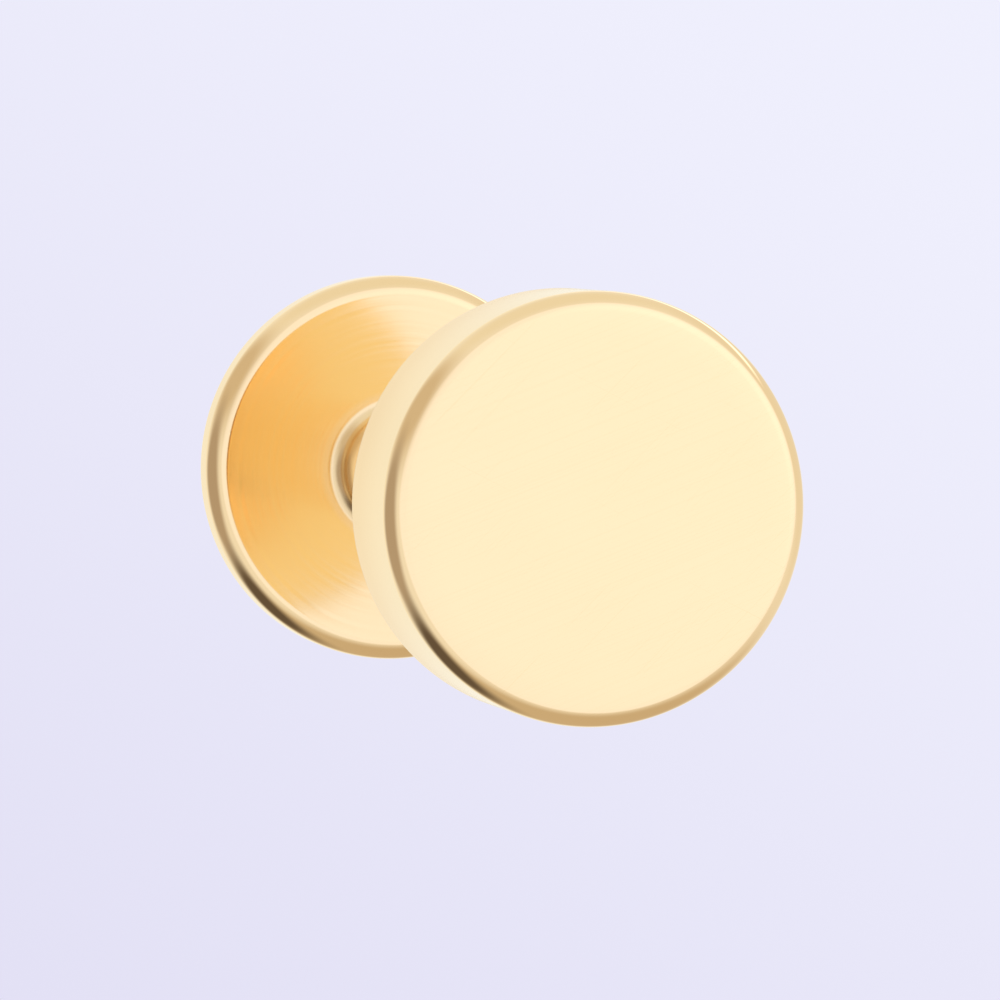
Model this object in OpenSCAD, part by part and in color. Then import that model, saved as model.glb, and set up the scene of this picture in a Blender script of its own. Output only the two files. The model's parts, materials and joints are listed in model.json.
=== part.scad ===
// Flat back stud earring: a polished round disc on a push-in pin, and a hollow post with a flat round back.
// Y runs along the post. The disc faces -Y, the flat back lies at +Y, and Z is up.
// The origin is on the post's axis, in the back face of the disc, where the front of the ear lies.

/* [Disc head] */
// Diameter of the polished disc
head_d = 4; // [3:0.1:6]
// Thickness of the disc
head_t = 1.4; // [0.8:0.1:2]
// Radius of the edge round the polished face
head_front_r = 0.18; // [0.05:0.01:0.3]
// Radius of the edge that lies on the skin
head_back_r = 0.08; // [0.03:0.01:0.2]

/* [Pin on the head] */
// Diameter of the pin soldered to the back of the disc
pin_d = 0.74; // [0.6:0.02:0.8]
// Length of the pin, from the back face of the disc to its tip
pin_l = 4; // [2:0.5:5]
// Diameter of the solder collar at the foot of the pin
collar_d = 1.28; // [1.24:0.02:1.4]
// Height of the solder collar
collar_h = 0.1; // [0.05:0.01:0.2]

/* [Post] */
// Outer diameter of the post, 16 gauge
post_d = 1.2; // [1.1:0.05:1.2]
// Clear length for the ear, from the back of the disc to the flat back
post_l = 6; // [6:1:12]
// Gap between the pin and the bore of the post, measured on the radius
bore_gap = 0.03; // [0.01:0.01:0.04]
// Gap between the mouth of the post and the solder collar
mouth_gap = 0.03; // [0.01:0.01:0.1]
// Radius of the edges round the mouth of the post
mouth_r = 0.04; // [0.02:0.01:0.05]

/* [Flat back] */
// Diameter of the flat back
back_d = 4; // [3:0.1:6]
// Thickness of the flat back
back_t = 0.6; // [0.5:0.05:1]
// Radius of the edges of the flat back
back_edge_r = 0.2; // [0.05:0.01:0.24]
// Radius of the solder fillet between the post and the flat back
fillet_r = 0.15; // [0.05:0.01:0.3]

/* [Hidden] */
$fn = 96;
head_r = head_d / 2;
pin_r = pin_d / 2;
collar_r = collar_d / 2;
post_r = post_d / 2;
bore_r = pin_r + bore_gap;
back_r = back_d / 2;
mouth_y = collar_h + mouth_gap;
gold = [0.95, 0.82, 0.55];

// Turns a profile round the post. The profile's x is the radius and its y is the distance along the post.
module turned() {
    rotate([-90, 0, 0])
        rotate_extrude()
            children();
}

// What a round edge takes off a square corner that points to +x and +y
module corner_waste(r) {
    difference() {
        translate([-r, -r])
            square(2 * r);
        translate([-r, -r])
            circle(r);
        translate([-2 * r, -r])
            square([r, 2 * r]);
        translate([-r, -2 * r])
            square([2 * r, r]);
    }
}

// Half of a disc's section, from y = 0 to y = t, with round outer edges of radius low_r and high_r
module disc_section(r, t, low_r, high_r) {
    difference() {
        square([r, t]);
        translate([r, t])
            corner_waste(high_r);
        translate([r, 0])
            mirror([0, 1])
                corner_waste(low_r);
    }
}

// Half of the pin's section, with a domed tip
module pin_section() {
    square([pin_r, pin_l - pin_r]);
    intersection() {
        translate([0, pin_l - pin_r])
            circle(pin_r);
        translate([0, pin_l - pin_r])
            square(pin_r);
    }
}

module disc_head() {
    color(gold)
        turned() {
            translate([0, -head_t])
                disc_section(head_r, head_t, head_front_r, head_back_r);
            square([collar_r, collar_h]);
            pin_section();
        }
}

// Half of the hollow post's section, with round edges at its mouth
module post_section() {
    difference() {
        translate([bore_r, mouth_y])
            square([post_r - bore_r, post_l - mouth_y]);
        translate([post_r, mouth_y])
            mirror([0, 1])
                corner_waste(mouth_r);
        translate([bore_r, mouth_y])
            mirror([0, 1])
                mirror([1, 0])
                    corner_waste(mouth_r);
    }
}

// Half of the section of the solder that fills the corner between the post and the flat back
module fillet_section() {
    difference() {
        translate([post_r, post_l - fillet_r])
            square(fillet_r);
        translate([post_r + fillet_r, post_l - fillet_r])
            circle(fillet_r);
    }
}

module flat_back_post() {
    color(gold)
        turned() {
            post_section();
            fillet_section();
            translate([0, post_l])
                disc_section(back_r, back_t, back_edge_r, back_edge_r);
        }
}

disc_head();
flat_back_post();
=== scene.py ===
import json
import math
from typing import NamedTuple

import bmesh
import bpy
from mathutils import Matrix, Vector


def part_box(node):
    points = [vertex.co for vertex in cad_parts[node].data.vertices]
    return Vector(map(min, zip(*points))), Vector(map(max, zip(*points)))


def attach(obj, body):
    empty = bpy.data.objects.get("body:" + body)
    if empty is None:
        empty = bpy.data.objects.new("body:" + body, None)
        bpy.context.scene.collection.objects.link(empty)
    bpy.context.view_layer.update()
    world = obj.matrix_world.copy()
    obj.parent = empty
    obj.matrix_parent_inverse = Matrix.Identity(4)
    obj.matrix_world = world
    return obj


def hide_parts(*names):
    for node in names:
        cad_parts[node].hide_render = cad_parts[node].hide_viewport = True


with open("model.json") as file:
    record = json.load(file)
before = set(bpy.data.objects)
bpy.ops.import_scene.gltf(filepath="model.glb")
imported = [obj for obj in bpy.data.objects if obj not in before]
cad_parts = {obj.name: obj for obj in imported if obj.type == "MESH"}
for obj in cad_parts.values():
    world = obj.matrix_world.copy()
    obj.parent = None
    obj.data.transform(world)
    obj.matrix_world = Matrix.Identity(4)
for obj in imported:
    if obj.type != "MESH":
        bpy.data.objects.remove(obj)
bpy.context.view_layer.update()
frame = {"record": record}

# A flat back stud earring of pale polished gold. It is turned on a lathe, so each piece starts as a disc
# whose axis is Y, and is worked from there in millimetres. The disc faces -Y and the flat back lies at +Y.

# Sizes in millimetres, taken from the frame where the frame holds them
MM = 0.001
head_low, head_high = (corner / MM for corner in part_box("disc_head"))
post_low, post_high = (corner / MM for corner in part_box("flat_back_post"))
piercing = next(m for m in frame["record"]["mounts"] if m["name"] == "piercing")

HEAD_R = head_high.x
HEAD_FRONT_Y = head_low.y
PIN_TIP_Y = head_high.y
BACK_R = post_high.x
BACK_INNER_Y = piercing["dims"]["length_mm"]
BACK_OUTER_Y = post_high.y
POST_R = piercing["dims"]["r_mm"]
MOUTH_Y = post_low.y

# Edges and small parts that the frame's boxes don't give, in millimetres
FRONT_EDGE_R = 0.18
REAR_EDGE_R = 0.08
CROWN_W = 0.22
CROWN_H = 0.003
COLLAR_R = 0.64
COLLAR_H = 0.1
COLLAR_EDGE_R = 0.03
PIN_R = 0.37
PIN_DOME_R = PIN_R * 0.96
BORE_R = 0.4
MOUTH_EDGE_R = 0.04
BACK_EDGE_R = 0.2
FILLET_R = 0.15
# A narrow ring that keeps a flat flat, just inside its round edge
HOLD_W = 0.03

# How finely the pieces are turned, and below which angle in degrees they are shaded smooth
TURN_SIDES = 256
CROWN_RINGS = 6
SMOOTH_ANGLE = 40

# How near a face or ring lies to its place, in millimetres. An inset shifts the corners of a ring a little.
NEAR = 0.0001
RING_NEAR = 0.002
# A face is square to Y where this much of its normal or more lies along Y
SQUARE_ON = 0.99

# How far each finish of the gold takes to fade in or out, and how much of the wall is buffed and free of
# painted shade, in millimetres
FACE_DEPTH = 0.03
FACE_NEAR = 0.002
WALL_DEPTH = 0.012
BUFFED_UNSHADED_WALL = 0.2
SIDE_DEPTH = 0.01
TUBE_DEPTH = 0.03
TUBE_NEAR = 0.005
SOLDER_FADE = 0.1

# How far a mark of height 1 stands proud of the gold, in millimetres
MARK_HEIGHT = 0.0002
# How much stronger the noise grows from beside a hairline to the line itself
LINE_SOFTNESS = 0.2

# Camera: the photograph's viewing angle on a disc that faces -Y, with sizes in millimetres
VIEW_AZIMUTH = -15.5
VIEW_ELEVATION = 3.4
LENS_MM = 200
SENSOR_MM = 36
VIEW_WIDTH = 9.4
VIEW_TARGET = Vector((-0.45, 0.4, 0.0))

# Backdrop, in metres
FLOOR_Z = -0.04
FLOOR_R = 0.12
SWEEP_R = 0.1
SWEEP_STEPS = 12
WALL_TOP = 0.26
STAGE_SIDES = 96
# The glowing paper has no painted shade from this height up, and a place to the right counts as higher by
# this share
FULL_LIGHT_Z = 0.08
LIGHT_LEAN = 0.8

# Sockets of the Mix node that work on colours
MIX_FACTOR = 0
MIX_FIRST = 6
MIX_SECOND = 7
MIX_RESULT = 2

BLACK = (0, 0, 0, 1)
PALE_GOLD = (1.0, 0.80, 0.48, 1)
# DEEP_GOLD tints the gold's own uneven tone and hairlines, and is also the painted shade on the rear of the
# head's wall
DEEP_GOLD = (0.95, 0.68, 0.34, 1)
SOLDER_GOLD = (0.97, 0.80, 0.52, 1)
# The glowing paper's colours: its painted shade low down and to the left, and its full brightness
PAPER_PAINTED_SHADE = (0.75, 0.73, 0.90, 1)
PAPER_HIGH = (0.87, 0.87, 0.985, 1)


def deselect_all():
    bpy.ops.object.select_all(action="DESELECT")


def edit(piece, mode):
    """Opens a piece for edge or face work, with nothing in it selected."""
    deselect_all()
    piece.select_set(True)
    bpy.context.view_layer.objects.active = piece
    bpy.ops.object.mode_set(mode="EDIT")
    bpy.ops.mesh.select_mode(type=mode)
    bpy.ops.mesh.select_all(action="DESELECT")


def leave_edit():
    bpy.ops.object.mode_set(mode="OBJECT")


def radius_of(point):
    return math.hypot(point.x, point.z)


def blank(name, radius, low_y, high_y):
    """A round blank in the lathe, between two places along Y."""
    deselect_all()
    bpy.ops.mesh.primitive_cylinder_add(
        vertices=TURN_SIDES, radius=radius, depth=high_y - low_y, end_fill_type="NGON",
        location=(0, (low_y + high_y) / 2, 0), rotation=(math.radians(90), 0, 0))
    piece = bpy.context.object
    piece.name = name
    piece.data.name = name
    bpy.ops.object.transform_apply(location=True, rotation=True, scale=True)
    return piece


def pick_flat(piece, y, facing):
    """Selects the flat round face at y that faces +Y (1) or -Y (-1)."""
    edit(piece, "FACE")
    mesh = bmesh.from_edit_mesh(piece.data)
    for face in mesh.faces:
        at_place = abs(face.calc_center_median().y - y) < NEAR
        face.select = at_place and face.normal.y * facing > SQUARE_ON and len(face.verts) == TURN_SIDES
    bmesh.update_edit_mesh(piece.data)


def pick_ring(piece, radius, y):
    """Selects the edge loop with this radius at y."""
    edit(piece, "EDGE")
    mesh = bmesh.from_edit_mesh(piece.data)
    for edge in mesh.edges:
        edge.select = all(
            abs(radius_of(v.co) - radius) < RING_NEAR and abs(v.co.y - y) < NEAR for v in edge.verts)
    bmesh.update_edit_mesh(piece.data)


def round_rings(piece, size, *rings, segments):
    """
    Rounds the edge loops at these places, each a radius and a y, or fills them where they are inner corners.
    They are done one by one, so that the faces come in the same order each run.
    """
    for ring in rings:
        pick_ring(piece, *ring)
        bpy.ops.mesh.bevel(offset=size, segments=segments, profile=0.5, affect="EDGES")
        leave_edit()


def inset(width, rise=0):
    bpy.ops.mesh.inset(thickness=width, depth=rise)


def draw_out(distance):
    """Extrudes the selected face along Y."""
    bpy.ops.mesh.extrude_region_move(TRANSFORM_OT_translate={"value": (0, distance, 0)})


def finish_piece(piece, material, node):
    """Smooths a finished piece, brings it to metres and gives it its metal and its place in the frame."""
    deselect_all()
    piece.select_set(True)
    bpy.context.view_layer.objects.active = piece
    bpy.ops.object.shade_smooth_by_angle(angle=math.radians(SMOOTH_ANGLE))
    weigh = piece.modifiers.new("flats stay flat", "WEIGHTED_NORMAL")
    weigh.keep_sharp = True
    bpy.ops.object.modifier_apply(modifier=weigh.name)
    piece.scale = (MM, MM, MM)
    bpy.ops.object.transform_apply(location=True, rotation=True, scale=True)
    piece.data.materials.clear()
    piece.data.materials.append(material)
    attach(piece, "root")
    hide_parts(node)


class Value:
    """A number, colour or place that changes over a surface. Sums on a number add Math nodes."""

    def __init__(self, shader, socket):
        self.shader = shader
        self.socket = socket

    def math(self, operation, *terms):
        return self.shader.node("ShaderNodeMath", {"operation": operation}, dict(enumerate(terms)))

    def __add__(self, other):
        return self.math("ADD", self, other)

    def __sub__(self, other):
        return self.math("SUBTRACT", self, other)

    def __mul__(self, other):
        return self.math("MULTIPLY", self, other)

    def __pow__(self, other):
        return self.math("POWER", self, other)

    def __rsub__(self, other):
        return self.math("SUBTRACT", other, self)

    __radd__ = __add__
    __rmul__ = __mul__


class Shader:
    """The nodes of one finish or light."""

    def __init__(self, owner):
        owner.use_nodes = True
        self.owner = owner
        self.tree = owner.node_tree
        self.tree.nodes.clear()

    def node(self, kind, settings=None, sockets=None, *outputs):
        """Adds a node, its settings first and its sockets after them. Returns one output or several."""
        added = self.tree.nodes.new(kind)
        for key, value in (settings or {}).items():
            setattr(added, key, value)
        for key, value in (sockets or {}).items():
            if isinstance(value, Value):
                self.tree.links.new(value.socket, added.inputs[key])
            else:
                added.inputs[key].default_value = value
        if not added.outputs:
            return None
        values = [Value(self, added.outputs[output]) for output in outputs or (0,)]
        return values if len(values) > 1 else values[0]

    def blend(self, factor, first, second):
        """Mixes two colours: the first where factor is 0, the second where it is 1."""
        return self.node("ShaderNodeMix", {"data_type": "RGBA"},
                         {MIX_FACTOR: factor, MIX_FIRST: first, MIX_SECOND: second}, MIX_RESULT)

    def ramp(self, value, low, high):
        """0 where value is low, 1 where it is high, and smooth between them."""
        return self.node("ShaderNodeMapRange", {"interpolation_type": "SMOOTHSTEP"},
                         {"Value": value, "From Min": low, "From Max": high})

    def place(self):
        """Where a point of the stud is, in millimetres."""
        point = self.node("ShaderNodeTexCoord", None, None, "Object")
        return self.node("ShaderNodeMapping", None, {"Vector": point, "Scale": (1 / MM,) * 3})

    def split(self, vector):
        return self.node("ShaderNodeSeparateXYZ", None, {0: vector}, 0, 1, 2)

    def noise(self, place, scale, detail):
        return self.node("ShaderNodeTexNoise", None, {"Vector": place, "Scale": scale, "Detail": detail})

    def rings(self, along, scale, detail):
        """Uneven lines, as a lathe tool leaves them."""
        return self.node("ShaderNodeTexNoise", {"noise_dimensions": "1D"},
                         {"W": along, "Scale": scale, "Detail": detail})


def hairlines(metal, place, angle, length, width, low):
    """Fine straight lines across a flat: 1 on a line and 0 beside it. A higher low leaves fewer."""
    # the shift keeps lines at different angles from sharing one pattern
    shift = (angle, 0, 0)
    turned = metal.node("ShaderNodeMapping", None, {
        "Vector": place, "Rotation": (0, math.radians(angle), 0), "Location": shift})
    stretched = metal.node("ShaderNodeMapping", None, {
        "Vector": turned, "Scale": (1 / length, 1, 1 / width)})
    return metal.ramp(metal.noise(stretched, scale=1.0, detail=0.0), low, low + LINE_SOFTNESS)


def buff_marks(metal, place, grain):
    """What the buff leaves on a flat: a fine grain one way, and a few longer scratches that come and go."""
    fine = hairlines(metal, place, angle=grain, length=6.0, width=0.010, low=0.50)
    rising = hairlines(metal, place, angle=grain + 24, length=9.0, width=0.013, low=0.66)
    falling = hairlines(metal, place, angle=grain - 47, length=9.0, width=0.013, low=0.69)
    worn = metal.ramp(metal.noise(place, scale=1.3, detail=1.0), 0.40, 0.62)
    return fine * 0.4 + (rising + falling) * worn


def gold(metal, colour, roughness, height):
    """Closes a gold finish."""
    bump = metal.node("ShaderNodeBump", None, {
        "Strength": 1.0, "Distance": MARK_HEIGHT * MM, "Height": height})
    surface = metal.node("ShaderNodeBsdfPrincipled", None, {
        "Base Color": colour, "Metallic": 1.0, "Roughness": roughness, "Normal": bump})
    metal.node("ShaderNodeOutputMaterial", None, {"Surface": surface})
    return metal.owner


def polished_gold():
    """Mirror polished face and edge, a wall that is less buffed and has painted shade towards its rear, and a
    turned rear side with satin solder.
    """
    metal = Shader(bpy.data.materials.new("polished_gold"))
    place = metal.place()
    x, y, z = metal.split(place)
    radius = (x * x + z * z) ** 0.5
    face = metal.ramp(y, HEAD_FRONT_Y + FACE_DEPTH, HEAD_FRONT_Y + CROWN_H + FACE_NEAR)
    wall = metal.ramp(radius, HEAD_R - WALL_DEPTH, HEAD_R - FACE_NEAR)
    # the wall is less buffed towards its rear, and its deeper colour there is painted shade
    unbuffed_and_painted_shade = wall * metal.ramp(y, HEAD_FRONT_Y + BUFFED_UNSHADED_WALL, -REAR_EDGE_R)
    rear_side = metal.ramp(y, -REAR_EDGE_R, 0)
    solder = rear_side * metal.ramp(radius, COLLAR_R + SOLDER_FADE, COLLAR_R)
    cloud = metal.noise(place, scale=0.9, detail=2.0)
    lines = buff_marks(metal, place, grain=20) * face
    turned = metal.rings(radius, scale=20.0, detail=1.5) * (rear_side * (1 - solder))
    cuts = metal.rings(y, scale=12.0, detail=1.0) * wall
    # painted shade deepens the wall towards its rear; the cloud and the hairlines are the gold's own uneven
    # tone
    colour = metal.blend(unbuffed_and_painted_shade * 0.6 + cloud * 0.10 + lines * 0.15, PALE_GOLD, DEEP_GOLD)
    colour = metal.blend(solder * 0.5, colour, SOLDER_GOLD)
    roughness = 0.03 + lines * 0.05 + unbuffed_and_painted_shade * 0.10 + (cuts + turned) * 0.10 + solder * 0.14
    height = cloud * 6.0 - lines * 0.4 + cuts * 0.2 + turned * 0.8
    return gold(metal, colour, roughness, height)


def turned_gold():
    """Polished outer side and edge, finely turned inner side, drawn tube and satin solder."""
    metal = Shader(bpy.data.materials.new("turned_gold"))
    place = metal.place()
    x, y, z = metal.split(place)
    radius = (x * x + z * z) ** 0.5
    inner_side = metal.ramp(y, BACK_INNER_Y + SIDE_DEPTH, BACK_INNER_Y)
    tube = metal.ramp(radius, POST_R + TUBE_DEPTH, POST_R + TUBE_NEAR) * inner_side
    outer_side = metal.ramp(y, BACK_OUTER_Y - SIDE_DEPTH, BACK_OUTER_Y)
    fillet_r = POST_R + FILLET_R
    fillet_y = BACK_INNER_Y - FILLET_R
    near_fillet = metal.ramp(y, fillet_y - SOLDER_FADE, fillet_y) * inner_side
    solder = metal.ramp(radius, fillet_r + SOLDER_FADE, fillet_r) * near_fillet
    cloud = metal.noise(place, scale=0.7, detail=2.0)
    lines = buff_marks(metal, place, grain=65) * outer_side
    turned = metal.rings(radius, scale=20.0, detail=1.5) * ((inner_side - tube) * (1 - solder))
    cuts = turned + metal.rings(y, scale=14.0, detail=1.5) * (tube * (1 - solder))
    colour = metal.blend(cloud * 0.3 + lines * 0.15, PALE_GOLD, DEEP_GOLD)
    colour = metal.blend(solder * 0.35, colour, SOLDER_GOLD)
    roughness = 0.07 + cuts * 0.12 + lines * 0.05 + solder * 0.16
    height = cloud * 5.0 + cuts * 1.0 - lines * 0.4
    return gold(metal, colour, roughness, height)


def make_disc_head(material):
    """The polished disc with its solder collar and pin."""
    crown_y = HEAD_FRONT_Y + CROWN_H
    head = blank("disc_head_polished", HEAD_R, crown_y, 0)

    # the pin on the back
    pick_flat(head, 0, 1)
    inset(HEAD_R - COLLAR_R)
    draw_out(COLLAR_H)
    inset(COLLAR_R - PIN_R)
    draw_out(PIN_TIP_Y - COLLAR_H)
    leave_edit()
    round_rings(head, PIN_DOME_R, (PIN_R, PIN_TIP_Y), segments=8)
    round_rings(head, COLLAR_EDGE_R, (COLLAR_R, COLLAR_H), segments=4)

    # the edges of the disc
    round_rings(head, REAR_EDGE_R, (HEAD_R, 0), segments=8)
    round_rings(head, FRONT_EDGE_R, (HEAD_R, crown_y), segments=14)

    # the polished face, which the buff has eased off a little towards its edge
    pick_flat(head, crown_y, -1)
    for ring in range(CROWN_RINGS):
        outer = 1 - ring / CROWN_RINGS
        inner = 1 - (ring + 1) / CROWN_RINGS
        inset(CROWN_W / CROWN_RINGS, CROWN_H * (outer ** 2 - inner ** 2))
    inset(HOLD_W)
    leave_edit()
    finish_piece(head, material, "disc_head")


def make_flat_back_post(material):
    """The flat back with the hollow post soldered to it."""
    post = blank("flat_back_post_turned", BACK_R, BACK_INNER_Y, BACK_OUTER_Y)

    # the tube, drawn out of the inner side, and its bore
    pick_flat(post, BACK_INNER_Y, -1)
    inset(BACK_R - POST_R)
    draw_out(MOUTH_Y - BACK_INNER_Y)
    inset(POST_R - BORE_R)
    draw_out(BACK_INNER_Y - MOUTH_Y)
    leave_edit()
    round_rings(post, MOUTH_EDGE_R, (POST_R, MOUTH_Y), (BORE_R, MOUTH_Y), segments=5)

    # the solder between tube and flat back, and the edges of the flat back
    round_rings(post, FILLET_R, (POST_R, BACK_INNER_Y), segments=8)
    round_rings(post, BACK_EDGE_R, (BACK_R, BACK_INNER_Y), (BACK_R, BACK_OUTER_Y), segments=12)
    pick_flat(post, BACK_OUTER_Y, 1)
    inset(HOLD_W)
    leave_edit()
    finish_piece(post, material, "flat_back_post")


def direction(azimuth, elevation):
    """The way from the stud to a thing at this azimuth and elevation. Azimuth 0 is in front of the disc."""
    a, e = math.radians(azimuth), math.radians(elevation)
    return Vector((math.sin(a) * math.cos(e), -math.cos(a) * math.cos(e), math.sin(e)))


def make_camera():
    """Looks at the stud from the photograph's side, through a long lens."""
    back = direction(VIEW_AZIMUTH, VIEW_ELEVATION)
    half_angle = math.atan(SENSOR_MM / 2 / LENS_MM)
    distance = VIEW_WIDTH / 2 / math.tan(half_angle)
    data = bpy.data.cameras.new("camera")
    data.lens = LENS_MM
    data.sensor_width = SENSOR_MM
    data.clip_start = 0.002
    data.clip_end = 1
    camera = bpy.data.objects.new("camera", data)
    bpy.context.scene.collection.objects.link(camera)
    camera.location = (VIEW_TARGET + back * distance) * MM
    camera.rotation_mode = "QUATERNION"
    camera.rotation_quaternion = (-back).to_track_quat("-Z", "Y")
    bpy.context.scene.camera = camera


def grow_rim(share, rise, height):
    """Extrudes the selected rim of the backdrop upwards and widens it."""
    bpy.ops.mesh.extrude_edges_move(TRANSFORM_OT_translate={"value": (0, 0, rise)})
    bpy.ops.transform.resize(value=(share, share, 1), center_override=(0, 0, height))


def backdrop_paper():
    """Glowing pale paper with painted shade, a little darker towards the floor and the left."""
    paper = Shader(bpy.data.materials.new("backdrop_paper"))
    across, _, height = paper.split(paper.place())
    # painted shade: the glow darkens towards the floor and the left
    shade = paper.ramp(height + across * LIGHT_LEAN, FLOOR_Z / MM, FULL_LIGHT_Z / MM)
    colour = paper.blend(shade, PAPER_PAINTED_SHADE, PAPER_HIGH)
    glow = paper.node("ShaderNodeBsdfPrincipled", None, {
        "Base Color": BLACK, "Specular IOR Level": 0,
        "Emission Color": colour, "Emission Strength": 1.0})
    paper.node("ShaderNodeOutputMaterial", None, {"Surface": glow})
    return paper.owner


def make_backdrop():
    """A pale floor that sweeps up into a round wall."""
    deselect_all()
    bpy.ops.mesh.primitive_circle_add(vertices=STAGE_SIDES, radius=FLOOR_R, fill_type="NGON",
                                      location=(0, 0, FLOOR_Z))
    backdrop = bpy.context.object
    backdrop.name = "backdrop"
    bpy.ops.object.transform_apply(location=True, rotation=True, scale=True)
    edit(backdrop, "EDGE")
    bpy.ops.mesh.select_all(action="SELECT")
    bpy.ops.mesh.region_to_loop()
    radius, height = FLOOR_R, FLOOR_Z
    for step in range(1, SWEEP_STEPS + 1):
        angle = math.radians(90 * step / SWEEP_STEPS)
        next_radius = FLOOR_R + SWEEP_R * math.sin(angle)
        next_height = FLOOR_Z + SWEEP_R * (1 - math.cos(angle))
        grow_rim(next_radius / radius, next_height - height, next_height)
        radius, height = next_radius, next_height
    grow_rim(1, WALL_TOP - height, WALL_TOP)
    leave_edit()
    bpy.ops.object.shade_smooth()
    backdrop.data.materials.append(backdrop_paper())
    backdrop.visible_glossy = False


class Patch(NamedTuple):
    """
    An oval of light or shade in the studio, with its place and half sizes in degrees as the stud sees it.
    Outside the oval it fades away, over fade times the oval's half size.
    """
    name: str
    azimuth: float
    elevation: float
    half_width: float
    half_height: float
    fade: float
    colour: tuple


# The light paper tent round the stud, and what stands in it, later ones in front of earlier ones
TENT = (0.90, 0.88, 0.88, 1)
STUDIO = (
    Patch("ceiling", 0, 90, 18, 18, 2.2, (0.86, 0.82, 0.75, 1)),
    Patch("floor", 0, -90, 32, 32, 1.0, (0.60, 0.50, 0.38, 1)),
    Patch("tan table on the right", 95, -64, 14, 8, 5.2, (0.60, 0.49, 0.37, 1)),
    Patch("window on the right", 100, 16, 30, 26, 1.0, (0.84, 0.79, 0.73, 1)),
    Patch("cream card behind", 180, 0, 26, 30, 0.7, (0.97, 0.95, 0.86, 1)),
    Patch("strip light on the right", 125, 33, 16, 2, 2.0, (1.70, 1.60, 1.70, 1)),
    Patch("soft box in front", 14, 8, 38, 30, 0.35, (1.04, 1.04, 1.14, 1)),
    Patch("lamp in the soft box", 34, 14, 7, 7, 4.0, (1.20, 1.20, 1.32, 1)),
    Patch("tan wall on the left", -88, 34, 30, 10, 1.8, (0.66, 0.56, 0.45, 1)),
    Patch("brown wall below it", -94, -9, 27, 20, 1.1, (0.46, 0.38, 0.32, 1)),
    Patch("dark corner", -104, -57, 20, 10, 2.0, (0.13, 0.10, 0.08, 1)),
)


def light_studio():
    """Soft studio light, which the polished metal sees all round it."""
    world = bpy.data.worlds.new("studio")
    bpy.context.scene.world = world
    sky = Shader(world)
    way = sky.node("ShaderNodeTexCoord", None, None, "Generated")
    colour = TENT
    for patch in STUDIO:
        # turned so that the patch's middle lies on -Y
        turn = (-math.radians(patch.elevation), 0, math.radians(patch.azimuth))
        turned = sky.node("ShaderNodeMapping", {"vector_type": "TEXTURE", "label": patch.name}, {
            "Vector": way, "Rotation": turn})
        x, y, z = sky.split(turned)
        across = x.math("ARCTAN2", x, 0 - y) * (1 / math.radians(patch.half_width))
        up = z.math("ARCSINE", z) * (1 / math.radians(patch.half_height))
        reach = (across * across + up * up) ** 0.5
        colour = sky.blend(sky.ramp(reach, 1 + patch.fade, 1), colour, patch.colour)
    glow = sky.node("ShaderNodeBackground", None, {"Color": colour, "Strength": 1.0})
    sky.node("ShaderNodeOutputWorld", None, {"Surface": glow})

    # the picture takes the colours as they are, with no film look
    view = bpy.context.scene.view_settings
    view.view_transform = "Standard"
    view.look = "None"
    view.exposure = 0
    view.gamma = 1


make_camera()
make_disc_head(polished_gold())
make_flat_back_post(turned_gold())
make_backdrop()
light_studio()
